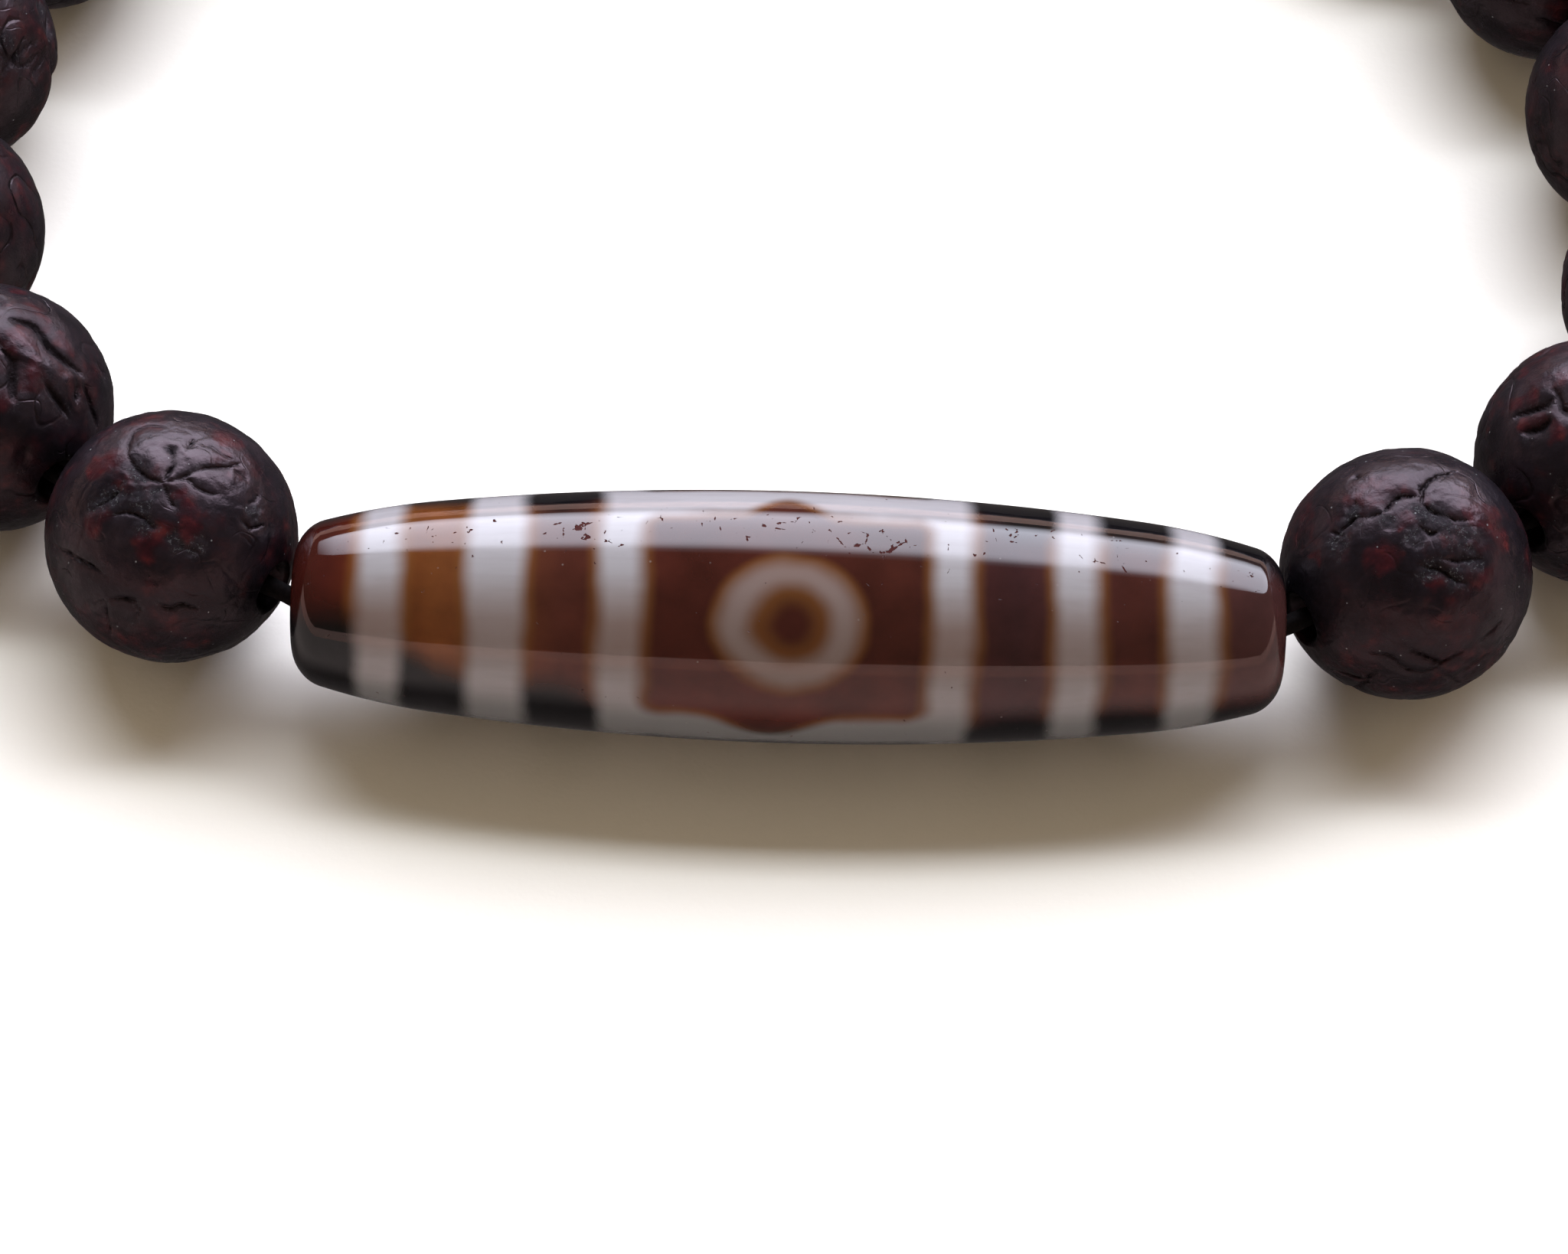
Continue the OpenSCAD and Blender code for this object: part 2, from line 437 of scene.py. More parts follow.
def edge_distance_stops():
    """Ramp stops along the bead: a half at a band's edge, more inside the white, less inside the brown."""
    edges = [x for band in WHITE_BANDS for x in band]
    places = [-BEAD_LEN / 2] + edges + [BEAD_LEN / 2]
    stops = {}
    for i, (start, end) in enumerate(zip(places, places[1:])):
        side = 1 if i % 2 else -1
        depth = min(RAMP_REACH, (end - start) / 2)
        for x in (start + depth, end - depth):
            stops[round(x, 3)] = 0.5 + side * depth / RAMP_REACH / 2
    for x in edges:
        stops[x] = 0.5
    return [(x / BEAD_LEN + 0.5, stops[x]) for x in sorted(stops)]


def polished_agate():
    """Banded chalcedony, dyed, etched white and tumble polished: glassy, with soft-edged milky bands."""
    material, tree = new_material("polished_banded_agate")
    place = add(tree, "TexCoord")
    # Millimetres from the middle of the bead: X along it, Z out through the eye
    turned = add(tree, "Mapping", place.outputs["Object"], vector_type="TEXTURE",
                 Location=BEAD_CENTRE, Rotation=(EYE_LEAN, 0, 0), Scale=(MM, MM, MM))
    # Hand-painted edges wander by a fifth of a millimetre over a few millimetres
    wander = add(tree, "TexNoise", turned, Scale=0.3, Detail=2)
    shift = add(tree, "VectorMath", wander.outputs["Color"], (0.5, 0.5, 0.5), operation="SUBTRACT")
    shifted = add(tree, "VectorMath", shift, (0.7, 0.7, 0.7), turned, operation="MULTIPLY_ADD")
    split = add(tree, "SeparateXYZ", shifted)
    along = split.outputs["X"]
    angle = add(tree, "Math", split.outputs["Y"], split.outputs["Z"], operation="ARCTAN2")
    around = add(tree, "Math", angle, BEAD_D / 2, operation="MULTIPLY")
    quarter = math.pi / 2 * BEAD_D / 2
    facing = add(tree, "Math", around, quarter, -quarter, operation="WRAP")
    off_eye = add(tree, "Math", facing, operation="ABSOLUTE")

    ramp_place = add(tree, "Math", along, 1 / BEAD_LEN, 0.5, operation="MULTIPLY_ADD")
    bands = add(tree, "ValToRGB", ramp_place)
    fill_ramp(bands, edge_distance_stops())
    in_band = add(tree, "Math", bands, 2 * RAMP_REACH, -RAMP_REACH, operation="MULTIPLY_ADD")

    # Panel that holds the eye: a rounded rectangle whose long edges swell at the middle
    swelling = 0
    for side, top, half_width, height in PANEL_SWELLINGS:
        distance = distance_from(tree, along, top)
        bulge = add(tree, "MapRange", distance, 0.0, half_width, height, 0.0, **SMOOTH)
        this_side = add(tree, "Math", facing, side, operation="MULTIPLY")
        on_side = add(tree, "Math", this_side, 0.0, operation="GREATER_THAN")
        swelling = add(tree, "Math", bulge, on_side, swelling, operation="MULTIPLY_ADD")
    middle_distance = distance_from(tree, along, PANEL_MIDDLE)
    past_end = add(tree, "Math", middle_distance, PANEL_HALF_LEN, operation="SUBTRACT")
    past_flat_edge = add(tree, "Math", off_eye, PANEL_HALF_WIDTH, operation="SUBTRACT")
    past_edge = add(tree, "Math", past_flat_edge, swelling, operation="SUBTRACT")
    past_gap_edge = add(tree, "Math", off_eye, -1, SIDE_GAP_FROM, operation="MULTIPLY_ADD")
    in_white = in_band
    for across, corner_r in ((past_edge, PANEL_CORNER_R), (past_gap_edge, SIDE_GAP_CORNER_R)):
        corner = add(tree, "CombineXYZ", past_end, across, -corner_r)
        rounded = add(tree, "VectorMath", corner, (corner_r, corner_r, corner_r), operation="ADD")
        outside = add(tree, "VectorMath", rounded, (0, 0, 0), operation="MAXIMUM")
        reach = add(tree, "VectorMath", outside, operation="LENGTH")
        outline = add(tree, "Math", reach.outputs["Value"], corner_r, operation="SUBTRACT")
        in_white = add(tree, "Math", in_white, outline, operation="MINIMUM")

    face_place = add(tree, "CombineXYZ", along, facing, 0.0)
    off_centre = add(tree, "VectorMath", face_place, EYE_CENTRE, operation="SUBTRACT")
    eye_place = add(tree, "VectorMath", off_centre, EYE_STRETCH, operation="MULTIPLY")
    eye_distance = add(tree, "VectorMath", eye_place, operation="LENGTH")
    from_ring = add(tree, "Math", eye_distance.outputs["Value"], EYE_RING_R, operation="SUBTRACT")
    ring_distance = add(tree, "Math", from_ring, operation="ABSOLUTE")
    in_ring = add(tree, "Math", ring_distance, -1, EYE_RING_HALF_WIDTH, operation="MULTIPLY_ADD")
    whiteness = add(tree, "MapRange", in_white, -0.36, 0.5, 0.0, 1.0, **SMOOTH)
    ring_edge = add(tree, "MapRange", in_ring, -0.44, 0.48, 0.0, 1.0, **SMOOTH)
    # Painted shade: the ring is drawn less white towards its top, to dim it where the light from above
    # falls
    ring_top_shade = add(tree, "MapRange", facing, 0.8, 2.0, 0.95, 0.8, **SMOOTH)
    ring_shaded_whiteness = add(tree, "Math", ring_edge, ring_top_shade, operation="MULTIPLY")

    # Brown face of the stone, which blackens towards the back
    face_rows = [(x / BEAD_LEN + 0.5, colour, -low / 90, high / 90) for x, colour, low, high in BROWN_FACE]
    browns, lows, highs = [add(tree, "ValToRGB", ramp_place) for column in range(3)]
    for column, ramp in enumerate((browns, lows, highs), start=1):
        fill_ramp(ramp, [(row[0], row[column]) for row in face_rows])
    quarter_turns = add(tree, "Math", angle, 2 / math.pi, operation="MULTIPLY")
    above = add(tree, "Math", quarter_turns, highs, operation="SUBTRACT")
    minus_turns = add(tree, "Math", quarter_turns, -1, operation="MULTIPLY")
    below = add(tree, "Math", minus_turns, lows, operation="SUBTRACT")
    past_face = add(tree, "Math", above, below, operation="MAXIMUM")
    blackness = add(tree, "MapRange", past_face, -0.18, 0.1, 0.0, 1.0, **SMOOTH)
    # Painted light: the brown is drawn a little lighter where the room's light comes in from the front
    glow = add(tree, "MapRange", quarter_turns, -0.18, -0.34, 1.0, 1.6, **SMOOTH)
    front_lit_browns = add(tree, "Mix", 1.0, A=browns, B=glow, data_type="RGBA", blend_type="MULTIPLY")
    stone = add(tree, "Mix", blackness, A=front_lit_browns, B=linear("#0d0c0e"), data_type="RGBA")

    # Veils of lighter and darker stone, two or three millimetres long
    cloud = add(tree, "TexNoise", turned, Scale=0.45, Detail=4)
    cloudiness = add(tree, "MapRange", cloud, 0.3, 0.75, 0.75, 1.3)
    clouded = add(tree, "Mix", 1.0, A=stone, B=cloudiness, data_type="RGBA", blend_type="MULTIPLY")
    amber_band = add(tree, "MapRange", in_white, -0.65, -0.1, 0.0, 0.65, **SMOOTH)
    # The pupil is amber for most of its way in, and the panel only close to the ring
    amber_fall = add(tree, "MapRange", from_ring, -0.01, 0.01, 1.0, 1.8)
    amber_depth = add(tree, "Math", in_ring, amber_fall, operation="MULTIPLY")
    amber_ring = add(tree, "MapRange", amber_depth, -1.2, -0.25, 0.0, 0.7, **SMOOTH)
    amber_here = add(tree, "Math", amber_band, amber_ring, operation="MAXIMUM")
    brown_share = add(tree, "Math", 1.0, blackness, operation="SUBTRACT")
    amber = add(tree, "Math", amber_here, brown_share, operation="MULTIPLY")
    fringed = add(tree, "Mix", amber, A=clouded, B=linear("#66401f"), data_type="RGBA")
    # The eye's ring is etched less white than the bands, and lets the brown through
    ringed = add(tree, "Mix", ring_shaded_whiteness, A=fringed, B=linear("#7c6d69"), data_type="RGBA")
    # Brush strokes of the etching, drawn out along the bead
    drawn_out = add(tree, "Mapping", turned, Scale=(0.3, 3, 3))
    strokes = add(tree, "TexNoise", drawn_out, Scale=1, Detail=3)
    milk = add(tree, "ValToRGB", strokes)
    fill_ramp(milk, [(0.25, "#918d90"), (0.5, "#959295"), (0.75, "#989598")])
    # Across the eye's height the white is drawn browner, most just below its middle, and on some bands more
    # than on others
    turn_place = add(tree, "Math", quarter_turns, 0.5, 0.5, operation="MULTIPLY_ADD")
    browner_turn = add(tree, "ValToRGB", turn_place)
    fill_ramp(browner_turn, [(0.31, 0.35), (0.41, 1.0), (0.47, 1.0), (0.6, 0.0)])
    browner_band = add(tree, "ValToRGB", ramp_place)
    fill_ramp(browner_band, [(x / BEAD_LEN + 0.5, share) for x, share in BROWNER_BANDS])
    browning = add(tree, "Math", browner_turn, browner_band, operation="MULTIPLY")
    browned_milk = add(tree, "Mix", browning, A=milk, B=linear("#7f6f6b"), data_type="RGBA")
    # Painted shade: the white is drawn greyer and darker on the low side of the bead, where less light
    # reaches it
    low_side_shade = add(tree, "MapRange", quarter_turns, -0.42, -0.72, 0.0, 1.0, **SMOOTH)
    shaded_milk = add(tree, "Mix", low_side_shade, A=browned_milk, B=linear("#706f6e"), data_type="RGBA")
    banded = add(tree, "Mix", whiteness, A=ringed, B=shaded_milk, data_type="RGBA")

    # Polishing has opened cracks between grains nearly a millimetre across, in clusters above the eye
    clusters = 0
    for cluster_along, cluster_around, strength in CRACK_CLUSTERS:
        middle = (cluster_along, cluster_around, 0)
        from_cluster = add(tree, "VectorMath", face_place, middle, operation="SUBTRACT")
        squeezed = add(tree, "VectorMath", from_cluster, (0.5, 1.3, 0), operation="MULTIPLY")
        cluster_distance = add(tree, "VectorMath", squeezed, operation="LENGTH")
        cluster = add(tree, "MapRange", cluster_distance.outputs["Value"], 0.25, 1.1, strength, 0.0)
        clusters = add(tree, "Math", cluster, clusters, operation="MAXIMUM")
    pit_field = add(tree, "TexNoise", turned, Scale=2.5, Detail=3, Roughness=0.6, Distortion=0.4)
    patches = add(tree, "TexNoise", turned, Scale=0.3, Detail=1)
    patchiness = add(tree, "Math", patches, 0.19, clusters, operation="MULTIPLY_ADD")
    belt_distance = distance_from(tree, facing, CRACK_BELT)
    off_belt = add(tree, "MapRange", belt_distance, 0.9, 1.7, 0.0, -0.06)
    belted = add(tree, "Math", patchiness, off_belt, operation="ADD")
    pit_height = add(tree, "Math", pit_field, belted, operation="ADD")
    cracks = add(tree, "TexVoronoi", turned, Scale=1.3, feature="DISTANCE_TO_EDGE")
    crack_reach = add(tree, "MapRange", pit_height, 0.71, 0.91, 0.0, 0.1)
    in_crack = add(tree, "Math", crack_reach, cracks.outputs["Distance"], operation="SUBTRACT")
    pits = add(tree, "MapRange", in_crack, 0.0, 0.015, 0.0, 1.0)
    # Single chips a twentieth of a millimetre across hold pale dust
    chip_field = add(tree, "TexVoronoi", turned, Scale=0.8)
    chips = add(tree, "MapRange", chip_field.outputs["Distance"], 0.02, 0.045, 0.35, 0.0)
    chipped = add(tree, "Mix", chips, A=banded, B=linear("#8f8885"), data_type="RGBA")
    colour = add(tree, "Mix", pits, A=chipped, B=linear("#3a0f0b"), data_type="RGBA")
    roughness = add(tree, "MapRange", pits, 0.0, 1.0, 0.05, 0.7)
    gloss = add(tree, "MapRange", pits, 0.0, 1.0, 0.5, 0.12)

    # Polish leaves shallow waves a few millimetres long
    waves = add(tree, "TexNoise", turned, Scale=0.25, Detail=1)
    dips = add(tree, "Math", pits, -2.0, waves, operation="MULTIPLY_ADD")
    skin = add(tree, "Bump", Height=dips, Strength=1.0, Distance=0.012 * MM)
    agate = add(tree, "BsdfPrincipled", Base_Color=colour, Roughness=roughness, IOR=1.54, Normal=skin,
                Specular_IOR_Level=gloss)
    add(tree, "OutputMaterial", agate)
    return material


bead = model_bead()
finish_piece(bead, polished_agate(), "agate", "dzi_bead")


# Seeds

# Lean of a seed's star point from the top: outwards around its bore, then towards the bore, in degrees
STAR_ROLLS = [6, 38, -25, 70, 15, -60, 120, 40, -15, 95, -40, 160, 25, -75, 50, 24, 11]
STAR_LEANS = {"seed_01": -3, "seed_17": 8}

# Creases of the seeds that the photo shows closest, as it shows them.
# Each row: depth and half width in millimetres, then points as angles (from the star point, around it)
SEEN_CREASES = {
    "seed_17": [
        (0.17, 0.13, [(0, 0), (5, 23), (14, 28), (22, 28), (33, 26), (40, 29)]),
        (0.07, 0.12, [(40, 29), (34, 37), (32, 48), (27, 64)]),
        (0.24, 0.12, [(0, 0), (10, 69), (16, 81), (22, 89)]),
        (0.18, 0.10, [(22, 66), (27, 66), (31, 66)]),
        (0.20, 0.16, [(0, 0), (8, 162), (15, 148), (23, 139)]),
        (0.12, 0.16, [(23, 139), (31, 129), (37, 118), (38, 106), (34, 92)]),
        (0.22, 0.16, [(0, 0), (8, 288), (13, 296)]),
        (0.13, 0.14, [(4, 30), (11, 14), (15, 357), (21, 353), (25, 356)]),
        (0.10, 0.12, [(35, 24), (39, 17), (41, 13)]),
        (0.12, 0.12, [(47, 7), (45, 2), (41, 356)]),
        (0.16, 0.13, [(33, 195), (27, 195), (22, 189), (20, 175)]),
        (0.15, 0.13, [(27, 212), (21, 220), (19, 241), (22, 262)]),
        (0.15, 0.12, [(39, 343), (45, 342), (52, 349)]),
        (0.13, 0.13, [(67, 198), (57, 213), (52, 225), (50, 239)]),
        (0.12, 0.12, [(71, 234), (62, 242), (58, 249), (57, 256), (62, 260), (73, 257)]),
        (0.13, 0.12, [(62, 242), (76, 244), (87, 246)]),
        (0.12, 0.11, [(56, 269), (59, 276), (58, 283), (63, 291)]),
    ],
    "seed_01": [
        (0.20, 0.12, [(7, 88), (10, 136), (13, 156), (15, 174), (17, 186)]),
        (0.17, 0.12, [(17, 186), (23, 187), (30, 182), (35, 187), (40, 192)]),
        (0.18, 0.14, [(0, 0), (11, 85), (17, 75), (24, 66), (36, 54)]),
        (0.18, 0.13, [(2, 76), (5, 344), (12, 349), (17, 346), (24, 352)]),
        (0.18, 0.14, [(10, 262), (14, 287), (14, 304)]),
        (0.18, 0.15, [(26, 294), (31, 308), (37, 327)]),
        (0.18, 0.16, [(27, 271), (30, 286), (35, 296), (41, 304)]),
        (0.12, 0.10, [(36, 142), (38, 140), (39, 144)]),
        (0.12, 0.10, [(31, 163), (32, 174)]),
        (0.12, 0.12, [(44, 186), (38, 195)]),
        (0.18, 0.13, [(63, 263), (69, 269), (73, 277), (77, 283), (76, 289), (74, 296)]),
        (0.15, 0.12, [(75, 249), (73, 256), (75, 261), (80, 267), (83, 275), (80, 281), (77, 283)]),
        (0.14, 0.12, [(72, 305), (71, 313), (70, 318)]),
        (0.12, 0.24, [(92, 290), (88, 298), (84, 307)]),
        (0.22, 0.12, [(27, 91), (28, 90)]),
        (0.24, 0.14, [(13, 91), (12, 90)]),
        (0.20, 0.12, [(10, 51), (11, 52)]),
        (0.16, 0.12, [(63, 298), (64, 299)]),
    ],
    "seed_16": [
        (0.30, 0.28, [(39, 37), (50, 30), (55, 16), (62, 8), (72, 5)]),
        (0.30, 0.30, [(28, 20), (35, 1), (38, 343), (42, 331)]),
        (0.22, 0.24, [(52, 352), (60, 346), (70, 340)]),
        (0.20, 0.22, [(74, 0), (82, 352), (91, 344)]),
    ],
    "seed_02": [
        (0.26, 0.24, [(80, 168), (72, 165), (64, 162), (60, 156)]),
        (0.26, 0.24, [(74, 176), (64, 175), (59, 169)]),
        (0.24, 0.26, [(62, 152), (55, 162), (46, 170)]),
    ],
}
# Worn red places of the same seeds. Each row: angle from the star point, angle around it, radius
SEEN_WORN = {
    "seed_17": [
        (10, 326, 0.45), (32, 207, 0.5), (17, 171, 0.4), (43, 52, 0.7), (29, 259, 0.6), (28, 150, 0.7),
        (39, 210, 0.5), (21, 275, 0.5), (25, 308, 0.6), (16, 314, 0.45), (35, 160, 0.6),
    ],
    "seed_01": [
        (10, 213, 0.45), (34, 1, 0.7), (18, 303, 0.28), (29, 234, 0.7), (35, 282, 0.5), (25, 3, 0.5),
        (41, 352, 0.6), (42, 320, 0.45), (54, 197, 0.3),
    ],
    "seed_16": [
        (55, 32, 0.4), (62, 22, 0.4), (66, 16, 0.4), (44, 349, 0.5), (48, 359, 0.45), (37, 330, 0.6),
        (63, 62, 0.5), (41, 23, 0.7), (31, 11, 0.6),
    ],
    "seed_02": [
        (73, 158, 0.45), (80, 161, 0.4), (67, 170, 0.4), (73, 172, 0.4), (60, 142, 0.55),
        (56, 176, 0.5), (84, 144, 0.35),
    ],
}
# Places of the two nearest ones where grey dust has caught, in the same columns
SEEN_DUSTY = {
    "seed_17": [
        (13, 163, 0.5), (30, 195, 0.6), (22, 191, 0.5), (21, 253, 0.5), (15, 229, 0.6), (33, 299, 0.45),
        (28, 284, 0.4), (43, 354, 0.5), (5, 236, 0.35), (20, 85, 0.3),
    ],
    "seed_01": [
        (3, 288, 0.55), (13, 319, 0.75), (23, 335, 0.7), (16, 260, 0.5), (30, 280, 0.6), (35, 295, 0.6),
        (33, 318, 0.6), (41, 198, 0.5), (31, 182, 0.5), (17, 200, 0.4),
    ],
}

# Segments of the seeds beside the long bead, of the next ones and of all the others
SEED_SEGMENTS = {"seed_01": 384, "seed_17": 384, "seed_02": 240, "seed_16": 240}
PLAIN_SEGMENTS = 144

# Distances from a seed's centre to its bore's mouth, along the bore, and to the bevel's inner edge,
# and the slack with which vertices are told apart by them
MOUTH_X = math.sqrt(SEED_R ** 2 - (SEED_BORE_R + MOUTH_BEVEL) ** 2)
BORE_EDGE = math.hypot(MOUTH_X - MOUTH_BEVEL, SEED_BORE_R)
EDGE_SLACK = 0.008
# Share of the radius past which a vertex of the frame's seed lies on its round shell
SHELL_SHARE = 0.985


def seed_place(name):
    """Centre and bore direction of a seed of the frame, from its own mesh, in millimetres."""
    co = np.array([v.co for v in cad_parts[name].data.vertices], float) / MM
    middle = (co.min(0) + co.max(0)) / 2
    shell = co[np.linalg.norm(co - middle, axis=1) > SHELL_SHARE * SEED_R]
    terms = np.column_stack([2 * shell, np.ones(len(shell))])
    centre = np.linalg.lstsq(terms, (shell ** 2).sum(1), rcond=None)[0][:3]
    offsets = co - centre
    bore = offsets[np.linalg.norm(offsets, axis=1) < BORE_EDGE + EDGE_SLACK]
    return Vector(centre), Vector(np.linalg.svd(bore, full_matrices=False)[2][0])


def loop_places():
    """Seed places around the loop, with each bore pointing on to the next seed."""
    places = [seed_place(name) for name in SEED_NAMES]
    middle = BEAD_CENTRE / MM
    centres = [middle] + [centre for centre, bore in places] + [middle]
    turned = []
    for i, (centre, bore) in enumerate(places):
        ahead = centres[i + 2] - centres[i]
        turned.append((centre, bore if bore.dot(ahead) > 0 else -bore))
    return turned


def model_drilled_seed(name, segments):
    """Round seed at the origin with a bevelled bore along X, made from a sphere with its poles cut away."""
    deselect_all()
    bpy.ops.mesh.primitive_uv_sphere_add(
        segments=segments, ring_count=segments // 2, radius=SEED_R * MM, rotation=(0, math.pi / 2, 0))
    seed = bpy.context.object
    seed.name = name
    bpy.ops.object.transform_apply(location=True, rotation=True, scale=True)
    bpy.ops.object.mode_set(mode="EDIT")
    select_in_edit_mode(seed, "verts", lambda v: abs(v.co.x) > MOUTH_X * MM)
    bpy.ops.mesh.delete(type="VERT")
    for side in (-1, 1):
        select_in_edit_mode(seed, "edges", lambda e: len(e.link_faces) == 1 and e.verts[0].co.x * side > 0)
        bpy.ops.mesh.extrude_region_move()
        ring = [v.co for v in bmesh.from_edit_mesh(seed.data).verts if v.select]
        inwards = (MOUTH_X - MOUTH_BEVEL) * MM * side - ring[0].x
        shrink = SEED_BORE_R * MM / math.hypot(ring[0].y, ring[0].z)
        bpy.ops.transform.translate(value=(inwards, 0, 0))
        bpy.ops.transform.resize(value=(1, shrink, shrink), center_override=(ring[0].x, 0, 0))
    select_in_edit_mode(seed, "edges", lambda e: len(e.link_faces) == 1)
    bpy.ops.mesh.bridge_edge_loops()
    bpy.ops.mesh.select_all(action="SELECT")
    bpy.ops.mesh.normals_make_consistent(inside=False)
    bpy.ops.object.mode_set(mode="OBJECT")
    return seed


def star_axes(name, bore):
    """Unit directions from a seed's centre: to its star point, to zero around it, and square to both."""
    up = Vector((0, 0, 1))
    roll = math.radians(STAR_ROLLS[SEED_NAMES.index(name)])
    lean = math.radians(STAR_LEANS.get(name, 0))
    outward = bore.cross(up)
    star = (up * math.cos(roll) + outward * math.sin(roll)) * math.cos(lean) + bore * math.sin(lean)
    zero = Vector((1, 0, 0)) - star * star.x
    zero.normalize()
    return star, zero, star.cross(zero)


def seed_direction(axes, away, around):
    star, zero, quarter = axes
    away, around = math.radians(away), math.radians(around)
    return star * math.cos(away) + (zero * math.cos(around) + quarter * math.sin(around)) * math.sin(away)


# Step of a grown crease in degrees, and the most that it turns aside at each, as a slope
CREASE_STEP = 6
CREASE_TURN = 0.7
# Grown creases that spread from the star point, and strays elsewhere: lowest and highest of each measure
ARM_START = (1, 4)
ARM_SWAY = (-18, 18)
ARM_STEPS = (3, 7)
ARM_DEPTH = (0.2, 0.3)
ARM_HALF_WIDTH = (0.16, 0.24)
STRAY_STEPS = (2, 6)
STRAY_DEPTH = (0.1, 0.24)
STRAY_HALF_WIDTH = (0.12, 0.22)
FARTHEST_STRAY = 165


def wandering_crease(rng, start, heading, steps):
    """Directions met by walking over a seed from start, turning a little at random at each step."""
    points = [start]
    heading = heading - start * heading.dot(start)
    for i in range(steps):
        sideways = start.cross(heading).normalized()
        heading = heading.normalized() + sideways * rng.uniform(-CREASE_TURN, CREASE_TURN)
        start = (start + heading.normalized() * math.radians(CREASE_STEP)).normalized()
        heading = heading - start * heading.dot(start)
        points.append(start)
    return points


def grown_creases(rng, axes, arms, strays, strays_from):
    """Arms that spread from the star point, and strays, as (depth, half width, directions) rows."""
    rows = []
    for arm in range(arms):
        around = 360 * arm / arms + rng.uniform(*ARM_SWAY)
        start = seed_direction(axes, rng.uniform(*ARM_START), around)
        heading = seed_direction(axes, 90, around)
        steps = rng.randint(*ARM_STEPS)
        depth, half_width = rng.uniform(*ARM_DEPTH), rng.uniform(*ARM_HALF_WIDTH)
        rows.append((depth, half_width, wandering_crease(rng, start, heading, steps)))
    for stray in range(strays):
        start = seed_direction(axes, rng.uniform(strays_from, FARTHEST_STRAY), rng.uniform(0, 360))
        heading = seed_direction(axes, 90, rng.uniform(0, 360))
        depth, half_width = rng.uniform(*STRAY_DEPTH), rng.uniform(*STRAY_HALF_WIDTH)
        steps = rng.randint(*STRAY_STEPS)
        rows.append((depth, half_width, wandering_crease(rng, start, heading, steps)))
    return rows


# Millimetres between the points that the search tree holds along a crease
TREE_STEP = 0.08


def crease_tree(rows):
    """Search tree over points along the creases, with each point's depth and half width."""
    points, sizes = [], []
    for depth, half_width, directions in rows:
        for i, (a, b) in enumerate(zip(directions, directions[1:])):
            count = max(1, round((b - a).length * SEED_R / TREE_STEP))
            for k in range(count):
                share = (i + k / count) / (len(directions) - 1)
                # A crease runs out at both ends
                fade = 1 - 0.7 * abs(2 * share - 1) ** 3
                points.append(a.lerp(b, k / count).normalized() * SEED_R)
                sizes.append((depth * fade, half_width * (0.6 + 0.4 * fade)))
    tree = kdtree.KDTree(len(points))
    for i, point in enumerate(points):
        tree.insert(point, i)
    tree.balance()
    return tree, sizes


def smooth_share(value, low, high):
    share = min(1, max(0, (value - low) / (high - low)))
    return share * share * (3 - 2 * share)


def spots(axes, rows):
    """Middles and radii in millimetres of round places given by their angles."""
    return [(seed_direction(axes, away, around) * SEED_R, radius) for away, around, radius in rows]


def spot_share(point, places):
    """How far a point lies inside the nearest of some round, soft-edged places."""
    shares = [1 - smooth_share((point - middle).length, 0.4 * r, 1.5 * r) for middle, r in places]
    return max(shares, default=0)


# Relief of a seed's shell in millimetres. Its lobes may rise a little past the round shell
HIGHEST_R = 5.02
LOBE_HEIGHT = 0.055
KNOB_HEIGHT = 0.028
GRAIN_HEIGHT = 0.012
PORE_HEIGHT = 0.007
DUSTY_PORE_HEIGHT = 0.05
DUSTY_DEPTH = 0.04
WRINKLE_DEPTH = 0.1
SMOOTH_WRINKLE_DEPTH = 0.02
WRINKLE_HALF_WIDTH = 0.09
DEEPEST = 0.45
# Depth that counts as one in the marks
FULL_DEPTH = 0.3
# How far the creases and the edges of worn and dusty places stray from their plain lines
CREASE_WANDER = 0.1
CREASE_FRAY = 0.03
BLOT_WANDER = 0.35
# Start of the noise vectors that lead them astray
NOISE_SEED = 1
# Millimetres over which the field of the winding wrinkles changes by one
WINDING_STEP = 1.2
# What a seed's vertices keep for its finish: half widths from the nearest crease, its depth, millimetres
# from a winding wrinkle, how shrunk the skin is, how sunken, how worn and how dusty
SEED_MARKS = ("crease_gap", "crease_depth", "winding_gap", "shrunk", "sunken", "worn", "dusty")
# The same for a vertex inside the bore, whose sunken share draws it darker with painted shade
FARTHEST_GAP = 4.0
BORE_MARKS = (FARTHEST_GAP, 0.0, 1.0, 0.0, 0.3, 0.0, 0.0)
# Share of the winding wrinkles on the nearest two seeds, and on the next two that follow the photo
NEAREST_SHRUNK = 0.15
SEEN_SHRUNK = 0.4


